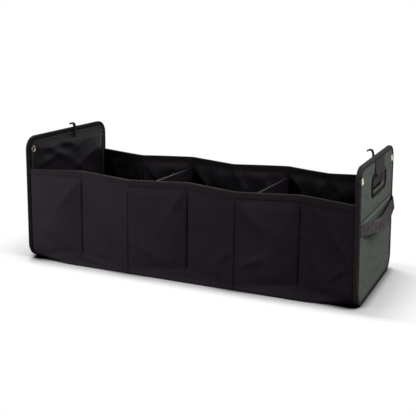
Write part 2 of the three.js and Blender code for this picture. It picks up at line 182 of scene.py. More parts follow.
# %% [markdown]
# ## Curves
#
# Tape, webbing and bindings start as a line through a few corners. A corner is made soft by
# swapping it for a short parabola, and a band is that line given a thickness. A line through
# points that it has to meet is a Catmull-Rom curve, which keeps a strap lively.

# %% Soft corners, smooth lines and bands
def parabola(start, corner, end, t):
    """(1-t)^2 A + 2t(1-t) C + t^2 B: leaves A towards C and reaches B from C."""
    return (1 - t) ** 2 * start + 2 * t * (1 - t) * corner + t**2 * end


def soft_path(corners, radius, steps=5, closed=False):
    """Polyline whose corners are parabolas between two points near each corner."""
    corners = np.asarray(corners, float)
    t = np.linspace(0, 1, steps)[:, None]
    pieces = []
    for k, corner in enumerate(corners):
        if not closed and k in (0, len(corners) - 1):
            pieces.append(corner[None])
            continue
        ends = []
        for other in (corners[k - 1], corners[(k + 1) % len(corners)]):
            away = other - corner
            size = np.linalg.norm(away)
            ends.append(corner + away * min(radius, 0.49 * size) / size)
        pieces.append(parabola(ends[0], corner, ends[1], t))
    return np.concatenate(pieces)


def smooth_line(points, count):
    """Catmull-Rom curve: between b and c it is a cubic whose slopes are (c-a)/2 at b and (d-b)/2 at c."""
    points = np.asarray(points, float)
    points = np.vstack([2 * points[0] - points[1], points, 2 * points[-1] - points[-2]])
    place = np.linspace(0, len(points) - 3, count)
    k = np.minimum(place.astype(int), len(points) - 4)
    t = (place - k)[:, None]
    a, b, c, d = (points[k + offset] for offset in range(4))
    return (
        (2 * t**3 - 3 * t**2 + 1) * b + (t**3 - 2 * t**2 + t) * (c - a) / 2
        + (3 * t**2 - 2 * t**3) * c + (t**3 - t**2) * (d - b) / 2
    )


def band(path, thickness):
    """Closed outline of a band: the path moved half a thickness to one side, then back on the other."""
    slope = np.gradient(path, axis=0)
    slope /= np.maximum(np.linalg.norm(slope, axis=1, keepdims=True), 1e-12)
    aside = np.stack([-slope[:, 1], slope[:, 0]], -1) * thickness / 2
    return np.concatenate([path + aside, (path - aside)[::-1]])


# %% Creases and ripples in cloth
def crease(u, v, start, end, height, width):
    """Soft ridge along a line: height * exp(-(distance to the line / width)^2), fading at its ends."""
    run = np.subtract(end, start)
    share = ((u - start[0]) * run[0] + (v - start[1]) * run[1]) / (run @ run)
    near = np.clip(share, 0, 1)
    distance = np.hypot(u - start[0] - near * run[0], v - start[1] - near * run[1])
    return height * np.exp(-((distance / width) ** 2)) * np.sin(np.pi * np.clip(near, 0.08, 0.92))


def ripple(u, v, seed, size, waves=7):
    """Sum of sine waves in random directions, each about `size` metres long, squeezed into 0 to 1."""
    draw = np.random.default_rng(seed)
    total = 0
    for _ in range(waves):
        angle, phase, stretch = draw.uniform(0, (2 * np.pi, 2 * np.pi, 1))
        along = np.cos(angle) * u + np.sin(angle) * v
        total = total + np.sin(2 * np.pi * along / (size * (0.6 + stretch)) + phase)
    return 0.5 + 0.5 * np.tanh(total / math.sqrt(waves))


def smooth_step(value):
    """0 below 0, 1 above 1 and 3t^2 - 2t^3 between."""
    value = np.clip(value, 0, 1)
    return value * value * (3 - 2 * value)


# %% [markdown]
# ## Shader maths as Python
#
# A weave is a few sine waves multiplied together, which is a long chain of nodes. A small class
# wraps a socket and turns each Python operator into one Math node. Every other kind of node comes
# from one method that takes its type, its settings and its inputs.

# %% Expressions
def operator(kind, reflected=False):
    """A method that adds one Math node. The reflected form puts its own value last."""
    def method(self, *others):
        values = (*others, self) if reflected else (self, *others)
        return self.nodes.node("Math", {"operation": kind}, dict(enumerate(values)))
    return method


class Wave:
    """A node's output in an expression: adding, multiplying and so on adds a Math node."""

    def __init__(self, nodes, socket):
        self.nodes = nodes
        self.socket = socket

    __add__, __radd__ = operator("ADD"), operator("ADD", True)
    __sub__, __rsub__ = operator("SUBTRACT"), operator("SUBTRACT", True)
    __mul__, __rmul__ = operator("MULTIPLY"), operator("MULTIPLY", True)
    sine, size, root = operator("SINE"), operator("ABSOLUTE"), operator("SQRT")
    at_least = operator("MAXIMUM")


class Nodes:
    """A node tree whose method `node` adds any node and gives back its output."""

    def __init__(self, tree):
        self.tree = tree

    def plug(self, socket, value):
        if isinstance(value, Wave):
            self.tree.links.new(value.socket, socket)
        else:
            socket.default_value = value

    def node(self, kind, settings, inputs, output=0):
        made = self.tree.nodes.new("ShaderNode" + kind)
        for key, value in settings.items():
            setattr(made, key, value)
        for key, value in inputs.items():
            self.plug(made.inputs[key], value)
        return Wave(self, made.outputs[output])

    def seen(self):
        """1 for rays from the camera, from metal and through glass, 0 for light that falls on things."""
        camera, metal, glass = (
            self.node("LightPath", {}, {}, f"Is {ray} Ray") for ray in ("Camera", "Glossy", "Transmission")
        )
        return camera + metal + glass


print("Wave has", len([name for name in vars(Wave) if name.startswith("__r")]), "reflected forms")

# %% Materials
class Finish(Nodes):
    """One material: a Principled shader with plain values, to which patterns are added."""

    def __init__(self, name, color, roughness, **constants):
        self.material = bpy.data.materials.new(name)
        self.material.use_nodes = True
        super().__init__(self.material.node_tree)
        self.shader = self.tree.nodes["Principled BSDF"]
        self.color = color
        constants.update(Base_Color=(*color, 1), Roughness=roughness)
        for socket, value in constants.items():
            self.set(socket.replace("_", " "), value)

    def set(self, socket, value):
        self.plug(self.shader.inputs[socket], value)

    def parts(self, source):
        """The three numbers of UV or Object coordinates, in metres, and the point."""
        point = self.node("TexCoord", {}, {}, source)
        return [self.node("SeparateXYZ", {}, {0: point}, axis) for axis in range(3)], point

    def noise(self, point, scale, detail):
        return self.node("TexNoise", {}, {"Vector": point, "Scale": scale, "Detail": detail}, "Fac")

    def drawn_noise(self, u, v, detail):
        """Noise drawn out along the axis that is scaled less."""
        return self.noise(self.node("CombineXYZ", {}, {0: u, 1: v, 2: 0.0}), 1, detail)

    def rise(self, value, low, high, how="LINEAR"):
        """0 where the value is below `low` and 1 where it is above `high`."""
        inputs = {"Value": value, "From Min": low, "From Max": high}
        return self.node("MapRange", {"interpolation_type": how}, inputs)

    def shade(self, factor, dark, light):
        """Base colour between the own colour times `dark` and times `light`."""
        low, high = ((*[c * share for c in self.color], 1) for share in (dark, light))
        self.set("Base Color", self.node("Mix", {"data_type": "RGBA"}, {0: factor, 6: low, 7: high}, 2))

    def bump(self, height, distance, strength):
        inputs = {"Height": height, "Distance": distance, "Strength": strength}
        self.set("Normal", self.node("Bump", {}, inputs))


# %% [markdown]
# ## Cloths
#
# Plain weave is threads that pass over and under each other, so its height is a product of two
# sine waves. Ribbed cloth has ribs in one direction. Both get a slow noise in their colour,
# because dye, dust and handling are never even. Matt black cloth has next to no shine.

# %% Woven and ribbed cloth
def woven(name, color, roughness, thread, mottle, shine=0.0):
    """Plain weave, sin(u) times sin(v), with slubs: two noises drawn out along the two yarns."""
    finish = Finish(name, color, roughness, Specular_IOR_Level=shine)
    (u, v, _), point = finish.parts("UV")
    turns = 2 * np.pi / thread
    weave = (turns * u).sine() * (turns * v).sine()
    slubs = finish.drawn_noise(30 * u, 260 * v, 2) + finish.drawn_noise(260 * u, 30 * v, 2)
    slow = finish.noise(point, 9, 4)
    fine = finish.noise(point, 500, 2)
    finish.shade(slow * 0.5 + fine * 0.3 + slubs * 0.6 - 0.5 + weave * 0.06, 1 - mottle, 1 + mottle)
    finish.bump(weave * 0.5 + fine * 0.6, 0.25 * MM, 0.6)
    return finish.material


def ribbed(name, color, roughness, pitch, mottle, depth, shine=0.0, inner=None, streaks=1.4, sheen=0.0):
    """Ribs |sin(pi u / pitch)|, so they follow each other along U.

    The yarn is spun from lighter and darker fibre, so a noise drawn out along the ribs streaks it.
    Tape folded over an edge can be darker beyond `inner`, its side towards the lining."""
    finish = Finish(name, color, roughness, Specular_IOR_Level=shine, Sheen_Weight=sheen)
    (u, v, _), point = finish.parts("UV")
    ribs = ((np.pi / pitch) * u).sine().size()
    thread = ((2 * np.pi / (0.6 * pitch)) * v).sine()
    streak = finish.drawn_noise(u * (0.28 / pitch), v * 60, 3)
    slow = finish.noise(point, 14, 5)
    fine = finish.noise(point, 320, 2)
    factor = ribs * 0.3 + slow * 0.3 + fine * 0.5 + streak * streaks - (0.15 + streaks / 2)
    if inner:
        factor = factor - finish.rise(v, inner - MM, inner + MM)
    finish.shade(factor, 1 - mottle, 1 + mottle)
    finish.bump(ribs + thread * 0.15 + fine * 0.4, depth * MM, 0.8)
    return finish.material


cover_cloth = ribbed("ribbed cloth", (0.11, 0.127, 0.108), 0.95, 1.6 * MM, 0.5, 0.35, 0.0, None, 1.2, 0.05)
wall_cloth = woven("wall cloth", (0.0298, 0.0237, 0.0312), 0.8, 0.9 * MM, 0.3)
lining_cloth = woven("lining cloth", (0.0092, 0.0073, 0.0097), 0.4, 0.9 * MM, 0.25, 0.07)
base_cloth = woven("base cloth", (0.0125, 0.0105, 0.0135), 0.8, 0.9 * MM, 0.2)
grip_cloth = woven("grip cloth", (0.024, 0.024, 0.025), 0.7, 0.8 * MM, 0.15, 0.05)
# The turned edge is lining cloth painted lighter than the lining: a painted highlight along the fold.
lining_fold_painted_highlight = woven("turned edge", (0.05, 0.046, 0.047), 0.6, 0.9 * MM, 0.3, 0.05)
print("cloths and finishes", len(bpy.data.materials))

# %% Tapes, webbing and thread
# The left tape's colour is a darker copy of the right one's: painted shade.
left_tape_painted_shade = ribbed("left binding painted shade", (0.0085, 0.0075, 0.007), 0.7, 2 * MM, 0.6, 0.5, 0.03)
right_tape = ribbed("right binding", (0.035, 0.03, 0.032), 0.7, 2 * MM, 0.5, 0.5, 0.03)
TAPES = {"left_panel": left_tape_painted_shade, "right_panel": right_tape}
rim_tape = ribbed("rim binding", (0.012, 0.0105, 0.0105), 0.7, 3 * MM, 0.8, 0.9, 0.03)
hem_tape = ribbed("hem tape", (0.0245, 0.0196, 0.023), 0.7, 1.4 * MM, 0.6, 0.2, 0.03, 20 * MM, 0.3)
webbing = ribbed("webbing", (0.092, 0.079, 0.086), 0.8, 2.4 * MM, 0.6, 0.7)
tab_webbing = ribbed("tab webbing", (0.012, 0.01, 0.0105), 0.7, 1.5 * MM, 0.5, 0.4, 0.05)
# A pale strip inside the hand hole's rim: painted light where light falls on the hole's wall.
hole_wall_painted_light = ribbed("hole wall painted light", (0.12, 0.109, 0.103), 0.8, 2 * MM, 0.4, 0.4)
black_thread = woven("thread", (0.03, 0.027, 0.027), 0.6, 0.5 * MM, 0.2)
pale_thread = woven("cover thread", (0.3, 0.33, 0.29), 0.6, 0.5 * MM, 0.2)
# A near-black row along the seam, stitches set edge to edge: painted shade for the shadow in the seam's
# fold.
seam_painted_shade = woven("seam painted shade", (0.008, 0.009, 0.008), 0.8, 0.5 * MM, 0.2)
print("cloths and finishes", len(bpy.data.materials))

# %% [markdown]
# ## Metal and board
#
# The eyelets are pressed from thin brass: pale rims, polished by hands. Their bore, and the inner
# rim of the back eyelet, are brass painted darker: painted shade. The stiffeners are plain grey
# board that no one sees once the cloth is on. Both have only a faint unevenness in colour and roughness.

# %% Brass and board
def plain(name, color, roughness, metallic, spread):
    """A cloud of noise that varies the colour, and the roughness by `spread`."""
    finish = Finish(name, color, roughness, Metallic=metallic)
    cloud = finish.noise(finish.node("TexCoord", {}, {}, "Object"), 160, 4)
    finish.shade(cloud, 0.85, 1.12)
    finish.set("Roughness", cloud * spread + (roughness - spread / 2))
    return finish.material


brass = plain("eyelet brass", (0.5, 0.47, 0.38), 0.35, 1.0, 0.2)
# Darker brass for the eyelets' bores: painted shade.
brass_painted_shade = plain("brass painted shade", (0.05, 0.045, 0.035), 0.6, 1.0, 0.1)
board = plain("stiffener board", (0.07, 0.07, 0.065), 0.8, 0.0, 0.1)
print("cloths and finishes", len(bpy.data.materials))

# %% [markdown]
# ## The two end panels
#
# A panel is drawn once, standing straight, in three numbers: how far out from the middle of the
# organizer, how far back, and how high. The left panel mirrors them. The right one stands askew
# on its front foot, turned a little and leaning in, so its points are turned as well.

# %% Places on an end panel
def turned(points):
    """Leans the points about Y, then turns them about Z, both about the right panel's front foot."""
    out, y, z = np.moveaxis(points - (INNER, -HALF_WIDTH, 0), -1, 0)
    leaning = np.cos(LEAN) * out - np.sin(LEAN) * z
    high = np.sin(LEAN) * out + np.cos(LEAN) * z
    x = np.cos(TURN) * leaning - np.sin(TURN) * y
    back = np.sin(TURN) * leaning + np.cos(TURN) * y
    return np.stack([x + INNER + FLARE, back - HALF_WIDTH, high], -1)


def on_panel(side, out, y, z):
    """Points of an end panel: mirrored on the left, turned askew on the right."""
    points = np.stack(np.broadcast_arrays(out, y, z), -1).astype(float)
    return points * (-1, 1, 1) if side == LEFT else turned(points)


def outline_reach(z, inset):
    """Half the panel's width at a height, less r - sqrt(r^2 - d^2) in a round corner."""
    reach = HALF_WIDTH - inset
    for corner, depth in ((BOTTOM_RADIUS, BOTTOM_RADIUS - z), (TOP_RADIUS, z - PANEL_HEIGHT + TOP_RADIUS)):
        radius = corner - inset
        depth = np.clip(depth, 0, radius)
        reach = reach - radius + np.sqrt(radius**2 - depth**2)
    return reach


def panel_rows(low, high, inset, step=4 * MM):
    """Heights for a grid: even steps, closer together where the round corners turn quickly."""
    turn = 1 - np.cos(np.linspace(0, np.pi / 2, 12))
    foot = inset + (BOTTOM_RADIUS - inset) * turn
    head = PANEL_HEIGHT - inset - (TOP_RADIUS - inset) * turn
    middle = np.arange(BOTTOM_RADIUS + step, PANEL_HEIGHT - TOP_RADIUS, step)
    rows = np.unique(np.concatenate([foot, middle, head, [low, high]]))
    rows = rows[(rows >= low) & (rows <= high)]
    return rows[np.append(True, np.diff(rows) > 0.2 * MM)]


# %% Holes in a grid
def pierce(y, z, hole):
    """Moves points inside a rounded hole to its edge, and says which cells lie wholly inside."""
    middle_y, middle_z, half_y, half_z, radius = hole
    beside, above = y - middle_y, z - middle_z
    qy = np.abs(beside) - (half_y - radius)
    qz = np.abs(above) - (half_z - radius)
    corner = (qy > 0) & (qz > 0)
    away = np.maximum(np.hypot(qy, qz), 1e-9)
    inside = np.where(corner, away < radius, (qy < radius) & (qz < radius))
    to_side = qy > qz
    new_qy = np.where(corner, qy / away * radius, np.where(to_side, radius, qy)) + half_y - radius
    new_qz = np.where(corner, qz / away * radius, np.where(to_side, qz, radius)) + half_z - radius
    moved_y = np.where(inside, middle_y + np.where(beside < 0, -1, 1) * new_qy, y)
    moved_z = np.where(inside, middle_z + np.where(above < 0, -1, 1) * new_qz, z)
    gone = inside[:-1, :-1] & inside[1:, :-1] & inside[:-1, 1:] & inside[1:, 1:]
    return moved_y, moved_z, gone


def node_hole(node, margin):
    """A hole as large as a node's box less a margin: its middle, half sizes and corner radius."""
    y_low, y_high = extent(node, "y")
    z_low, z_high = extent(node, "z")
    half_y = (y_high - y_low) / 2 - margin
    half_z = (z_high - z_low) / 2 - margin
    radius = min(half_y, half_z) if half_y < 20 * MM else 14 * MM
    return (y_low + y_high) / 2, (z_low + z_high) / 2, half_y, half_z, radius


EYELETS = [node_hole(f"left_panel_eyelet_{end}", 1.6 * MM) for end in ("front", "back")]
HAND_HOLE = node_hole("left_panel_hand_hole_rim", 6 * MM)
print("hand hole centre", [round(v, 3) for v in HAND_HOLE[:2]], "eyelets", len(EYELETS))

# %% [markdown]
# ## The cloth on a panel
#
# Each end panel wears two pieces of ribbed cloth outside, sewn together above the carry strap, and
# one black lining inside. It is padded, so the cloth swells between its bindings, as a bow across
# times a bow up, and pulls into shallow creases, which are added.

# %% One sheet of a panel, and the swell of the outer cloths
SHEET_INSET = 3 * MM
FOLD_INSET = 12.6 * MM


def panel_sheet(name, side, face, low, high, holes, swell, material):
    """Grid y = u * reach(z), z from rows; the face is moved out by swell(y, z)."""
    z = panel_rows(low, high, SHEET_INSET)[:, None]
    u = np.linspace(-1, 1, 100)[None, :]
    y = u * outline_reach(z, SHEET_INSET)
    z = z + 0 * u
    keep = np.ones((z.shape[0] - 1, z.shape[1] - 1), bool)
    for hole in holes:
        y, z, gone = pierce(y, z, hole)
        keep &= ~gone
    out = face + swell(y, z)
    thickness = CLOTH if material == lining_cloth else -CLOTH
    return shell(name, on_panel(side, out, y, z), on_panel(side, out + thickness, y, z), material, keep)


def bows(y, z, low, high):
    """One bow across times one bow up: 0 at the edges and 1 in the middle of the cloth."""
    across = np.clip(1 - (y / (HALF_WIDTH - 10 * MM)) ** 2, 0, 1)
    up = np.clip((z - low) * (high - z) * 4 / (high - low) ** 2, 0, 1)
    return np.sqrt(across * up)


def lower_swell(y, z):
    """Padding under the lower cloth, a folded edge along the seam and creases that the strap pulls."""
    folded = 1.4 * MM * np.exp(-(((z - SEAM + 2.5 * MM) / (2.2 * MM)) ** 2))
    pulls = sum(
        crease(y, z, (side * 0.15, STRAP_LOW), (side * 0.07, STRAP_LOW - drop), 0.7 * MM, 9 * MM)
        for side in (-1, 1) for drop in (0.05, 0.11)
    )
    wave = 0.8 * MM * ripple(y, z, 3, 0.12)
    return folded + (2.2 * MM + pulls + wave) * bows(y, z, 0, SEAM) + pulls


def upper_swell(y, z):
    """Padding under the upper cloth, held flat round the hand hole by its rim."""
    middle_y, middle_z, half_y, half_z, _ = HAND_HOLE
    beside = np.maximum(np.abs(y - middle_y) - half_y, 0)
    above = np.maximum(np.abs(z - middle_z) - half_z, 0)
    free = 1 - np.exp(-((np.hypot(beside, above) / (18 * MM)) ** 2))
    wave = 0.7 * MM * ripple(y, z, 5, 0.1)
    return 0.2 * MM + (1.4 * MM + wave) * bows(y, z, SEAM, PANEL_HEIGHT) * free


# %% Creases of the lining
LINING_CREASES = (
    ((-0.13, 0.27), (0.02, 0.21)), ((0.13, 0.275), (-0.01, 0.235)), ((-0.15, 0.1), (0.03, 0.2)),
    ((0.15, 0.14), (0.0, 0.21)), ((-0.1, 0.03), (0.08, 0.1)), ((0.15, 0.24), (0.02, 0.19)),
    ((-0.06, 0.275), (0.03, 0.245)), ((-0.14, 0.22), (-0.05, 0.24)),
)


def lining_swell(y, z):
    """Slack of the lining inside its turned edge: a pouch, a fold below the top and slanting creases."""
    from_edge = np.minimum(outline_reach(z, 0) - np.abs(y), np.minimum(z, PANEL_HEIGHT - z))
    held = smooth_step((from_edge - FOLD_INSET) / (22 * MM))
    slack = 5 * MM * ripple(y, z, 8, 0.15) + crease(y, z, (-0.15, 0.262), (0.15, 0.268), 5 * MM, 11 * MM)
    for start, end in LINING_CREASES:
        slack = slack + crease(y, z, start, end, 4.2 * MM, 9.5 * MM)
    return -slack * held


# %% Dress both panels
top, join = PANEL_HEIGHT - SHEET_INSET, GAP / 2
COVER, LINED = (COVER_FACE, cover_cloth, "ribbed_cloth"), (LINING_FACE, lining_cloth, "lining_cloth")
for panel, side in SIDES.items():
    for name, node, (face, material, slot), low, high, holes, swell, tall in (
        ("lower_cloth", "cover_lower", COVER, SHEET_INSET, SEAM - join, [], lower_swell, SEAM),
        ("upper_cloth", "cover_upper", COVER, SEAM + join, top, [HAND_HOLE, *EYELETS], upper_swell,
         PANEL_HEIGHT - SEAM),
        ("inside_cloth", "lining", LINED, SHEET_INSET, top, EYELETS, lining_swell, PANEL_HEIGHT),
    ):
        cloth = panel_sheet(f"{panel}_{name}", side, face, low, high, holes, swell, material)
        stand_in(cloth, f"{panel}_{node}")
        print(cloth.name, len(cloth.data.polygons), "quads")

# %% [markdown]
# ## Bindings
#
# Ribbed tape is folded over the edge of each panel. Its section is a U with soft corners, carried
# round the outline. Moving an outline point inwards along its own normal keeps the corners round.
# The left tape is painted a deeper black than the right one: painted shade, the same tape in less light.

# %% The outline of a panel, and sections carried round it
def outline(half, low, high, low_radius, high_radius, corner_steps=14, spacing=6 * MM):
    """Points round a rounded rectangle in Y and Z with their outward normals, arcs by cosine and sine."""
    arcs = []
    for sign, top_end, quarter in ((1, False, -0.5), (1, True, 0), (-1, True, 0.5), (-1, False, 1)):
        radius = high_radius if top_end else low_radius
        centre = (sign * (half - radius), high - radius if top_end else low + radius)
        angle = np.pi * (quarter + np.linspace(0, 0.5, corner_steps))
        normal = np.stack([np.cos(angle), np.sin(angle)], -1)
        arcs.append((centre + radius * normal, normal))
    points, normals = [], []
    for (arc, normal), (after, _) in zip(arcs, arcs[1:] + arcs[:1]):
        run = after[0] - arc[-1]
        count = max(int(np.linalg.norm(run) / spacing), 1)
        share = np.arange(1, count)[:, None] / count
        points += [arc, arc[-1] + share * run]
        normals += [normal, np.repeat(normal[-1:], count - 1, 0)]
    return np.concatenate(points), np.concatenate(normals)


def edged(name, side, path, section, material):
    """Carries a section round an outline: section columns are the way in from the edge and out."""
    points, outward = path
    y, z = (points[:, None, k] - section[None, :, 0] * outward[:, None, k] for k in range(2))
    return carried(name, on_panel(side, section[None, :, 1], y, z), material, closed=True)


def folded(corners, steps, thickness, outer_radius, inner_radius):
    """Section of folded cloth: along the corners, and back along them moved in by the thickness."""
    inner = np.add(corners, np.multiply(steps, thickness))[::-1]
    return np.concatenate([soft_path(corners, outer_radius), soft_path(inner, inner_radius)])


# %% Edge bindings and the turned edge of the lining
OUTER_LEG, INNER_LEG = 8 * MM, 10 * MM
panel_edge = outline(HALF_WIDTH, 0, PANEL_HEIGHT, BOTTOM_RADIUS, TOP_RADIUS)
proud = OUTER + 0.6 * MM
binding_section = folded(
    [(INNER_LEG, INNER), (0, INNER), (0, proud), (OUTER_LEG, proud)],
    [(0, 1), (1, 1), (1, -1), (0, -1)], TAPE, 4 * MM, 4 * MM - TAPE / 2,
)
angle = np.linspace(0, 2 * np.pi, 8, endpoint=False)
turned_edge = np.stack(
    [FOLD_INSET + 1.3 * MM * np.cos(angle), LINING_FACE - 0.8 * MM + 1.2 * MM * np.sin(angle)], -1
)
for panel, side in SIDES.items():
    tape = edged(f"{panel}_binding_tape", side, panel_edge, binding_section, TAPES[panel])
    stand_in(tape, f"{panel}_edge_binding")
# The lining's turned edge is lighter than the lining: a painted highlight along its fold.
for panel, side in SIDES.items():
    stand_in(edged(f"{panel}_lining_fold", side, panel_edge, turned_edge, lining_fold_painted_highlight))
print("binding", len(tape.data.polygons), "quads, lining turned under", round(FOLD_INSET / MM), "mm in")

# %% [markdown]
# ## The hand hole
#
# The hole is bound with tape, rolled fat so that it is kind to the fingers. A smooth grey band
# runs from the top binding over the rim and hangs into the hole. The rim is a rolled section
# carried round the hole, and the band is one line seen from the side, given its thickness.

# %% Sections of the rim and the grip band
RIM = 8 * MM
seat = OUTER - TAPE
rim_height = layer("left_panel_hand_hole_rim")[1] - seat
crest = seat + 1.3 * rim_height
hole_y, hole_z = (extent("left_panel_hand_hole_rim", axis) for axis in "yz")
band_y, band_z = (extent("left_panel_grip_band", axis) for axis in "yz")
hole_top = hole_z[1] - RIM
points, outward = outline((hole_y[1] - hole_y[0]) / 2, *hole_z, 20 * MM, 20 * MM, 12, 5 * MM)
rim_edge = (points + ((hole_y[0] + hole_y[1]) / 2, 0), outward)
rim_path = [(0, seat), (0, seat + 0.75 * rim_height), (0.5 * RIM, crest), (RIM, seat + 0.75 * rim_height)]
rim_section = np.concatenate([soft_path([*rim_path, (RIM, BOARD_FACE)], 3.2 * MM), [
    (RIM - TAPE, BOARD_FACE), (RIM - TAPE, seat + 0.6 * MM), (TAPE, seat + 0.6 * MM), (TAPE, seat),
]])
# This thin strip lines the inner wall of the rim; its pale colour is painted light on that wall.
painted_light_section = np.array([
    (RIM + 0.1 * MM, BOARD_FACE), (RIM + 0.1 * MM, seat + 0.4 * MM),
    (RIM + 0.8 * MM, seat - 0.4 * MM), (RIM + 0.8 * MM, BOARD_FACE),
])
lift = 1.6 * MM
band_section = band(soft_path([
    (seat + 1.4 * lift, band_z[1] + 3 * MM), (seat + 1.4 * lift, hole_top + RIM + 4 * MM),
    (crest + lift, hole_top + 0.7 * RIM), (crest + lift, hole_top + 0.2 * RIM),
    (BOARD_FACE + 2.4 * lift, hole_top - 2 * lift), (BOARD_FACE + 1.2 * lift, band_z[0] + 6 * MM),
], 5 * MM, 7), lift)
print("rim height", round(rim_height / MM, 1), "mm")

# %% Rim, painted light on the hole's wall, and grip band
for panel, side in SIDES.items():
    rim = edged(f"{panel}_rolled_rim", side, rim_edge, rim_section, rim_tape)
    stand_in(rim, f"{panel}_hand_hole_rim")
    stand_in(edged(f"{panel}_hole_painted_light", side, rim_edge, painted_light_section, hole_wall_painted_light))
    across = np.linspace(*band_y, 13)[:, None]
    place = on_panel(side, band_section[:, 0], across, band_section[:, 1])
    grip = carried(f"{panel}_grip_cloth", place, grip_cloth, sharp=60)
    stand_in(grip, f"{panel}_grip_band")
print("grip band", round((band_y[1] - band_y[0]) / MM), "mm wide")

# %% [markdown]
# ## Eyelets
#
# An eyelet is a short tube with both ends rolled outwards. Its profile, a closed line, is turned
# round the axis in even steps.

# %% Turned eyelets
# Rims in millimetres: distance from the axis, and way out from the panel's outer or inner face.
RIMS = {
    "outer": [(5, -1.5), (5.8, -1.5), (7.6, -0.8), (7.6, 0.5), (6.3, 1.3), (5, 0)],
    "inner": [(5, 1.5), (5, 0), (6.3, -0.6), (7.6, -0.1), (7.6, 0.8), (5.8, 1.5)],
}
back_face, front_face = layer("left_panel_eyelet_front")
faces_out = {"outer": front_face, "inner": back_face}
tube_ends = back_face + 1.4 * MM, front_face - 1.4 * MM
tube_profile = [(5.1 * MM, tube_ends[k]) for k in (0, 1)] + [(5.8 * MM, tube_ends[k]) for k in (1, 0)]


def turned_ring(name, side, y, z, profile, rounding, material, node=None):
    """Profile (r, out) turned round the eyelet's axis: y = r cos a, z = r sin a."""
    profile = soft_path(profile, rounding, 4, closed=True)
    angle = np.linspace(0, 2 * np.pi, 32, endpoint=False)[:, None]
    radius, out = profile[None, :, 0], profile[None, :, 1]
    points = on_panel(side, out, y + radius * np.cos(angle), z + radius * np.sin(angle))
    stand_in(carried(name, points, material, closed=True, sharp=70), node)


for panel, side in SIDES.items():
    for end, (y, z, *_) in zip(("front", "back"), EYELETS):
        node = f"{panel}_eyelet_{end}"
        # The tube takes the darker brass: painted shade inside the bore.
        turned_ring(f"{panel}_{end}_tube", side, y, z, tube_profile, 0.2 * MM, brass_painted_shade, node)
        for face, profile in RIMS.items():
            rim = np.multiply(profile, MM) + (0, faces_out[face])
            # The back eyelet's inner rim takes the darker brass too: painted shade.
            metal = brass_painted_shade if (end, face) == ("back", "inner") else brass
            turned_ring(f"{panel}_{end}_{face}_rim", side, y, z, rim, 0.5 * MM, metal)
print("eyelets with a", 2 * RIMS["outer"][0][0], "mm hole")

# %% [markdown]
# ## Carry straps and closure tabs
#
# The straps are webbing, slack between the two side bindings, and they twist so that the lower
# edge stands further out. A closure tab is a narrow strip sewn inside the top edge, with a stiff
# end that curls over.

# %% Straps
STRAP_ROUTE = (
    (-1, 0), (-0.94, 0.02), (-0.68, 0.5), (-0.34, 1), (0.1, 0.82), (0.55, 0.55), (0.84, 0.38), (0.96, 0.03),
    (1, 0),
)
WEB = 2 * MM
STRAP_REACH = HALF_WIDTH - OUTER_LEG - GAP
strap_height = STRAP_HIGH - STRAP_LOW
strap_seat = COVER_FACE + WEB / 2 + 0.5 * MM
web_corners = [(-0.5, v) for v in np.linspace(-0.5, 0.5, 7)] + [(0.5, v) for v in np.linspace(0.5, -0.5, 7)]
thick, wide = soft_path(web_corners, 0.04, 3, closed=True).T
route = smooth_line(STRAP_ROUTE, 90)
for (panel, side), slack in zip(SIDES.items(), (19.3 * MM, 25 * MM)):
    line = np.stack([route[:, 0] * STRAP_REACH, strap_seat + np.maximum(route[:, 1], 0) * slack], -1)
    slope = np.gradient(line, axis=0)
    slope /= np.linalg.norm(slope, axis=1, keepdims=True)
    proud = (line[:, 1] - strap_seat)[:, None]
    crumple = 0.35 * MM * np.sin(line[:, :1] / (9 * MM) + 3 * wide) * np.clip(proud / (10 * MM), 0, 1)
    y = line[:, :1] - slope[:, 1:] * thick * WEB
    out = line[:, 1:] + slope[:, :1] * thick * WEB - 0.32 * proud * wide + crumple
    z = (STRAP_LOW + STRAP_HIGH) / 2 + wide * strap_height - 0.14 * proud
    strap = carried(f"{panel}_webbing", on_panel(side, out, y, z), webbing)
    stand_in(strap, f"{panel}_carry_strap")
print("straps", round(strap_height / MM), "mm wide")

# %% Closure tabs
TAB_RISE = 9.5 * MM
TAB_WIDTH = 10 * MM
TAB_SEAT = INNER - 1.8 * MM
CURL = ((0.1, 0.5), (0.35, 0.95), (0.75, 1.05), (1.15, 0.95), (1.35, 0.72))
for (panel, side), place in zip(SIDES.items(), (19 * MM, 3 * MM)):
    sewn = [(TAB_SEAT, PANEL_HEIGHT - down) for down in (24 * MM, 10 * MM, 0)]
    curl = [(TAB_SEAT - side * TAB_RISE * a, PANEL_HEIGHT + TAB_RISE * b) for a, b in CURL]
    route = smooth_line(sewn + curl, 40)
    station = np.array([-0.5, -0.46, 0, 0.46, 0.5])[:, None]
    squeeze = np.where(np.abs(station) > 0.48, 0.35, 1)
    centre = np.concatenate([route, route[::-1]])
    section = centre + (band(route, 3 * MM) - centre) * squeeze[..., None]
    taper = 1 - 0.15 * np.concatenate([np.linspace(0, 1, 40), np.linspace(1, 0, 40)])
    y = place + station * TAB_WIDTH * taper
    tab = carried(f"{panel}_tab", on_panel(side, section[..., 0], y, section[..., 1]), tab_webbing)
    stand_in(tab, f"{panel}_closure_tab")
print("closure tabs", TAB_WIDTH / MM, "mm wide")

# %% [markdown]
# ## The folded walls
#
# Each long wall is a strip of cloth outside and one inside, with six boards between them, so it
# only bends at the folds. Every second fold is drawn in, which makes a zigzag. A zigzag with soft
# corners has a formula: each corner adds half its change of slope times sqrt(d^2 + r^2) - |d|,
# where d is the distance to the fold. The cloth swells over each board and gathers into creases.

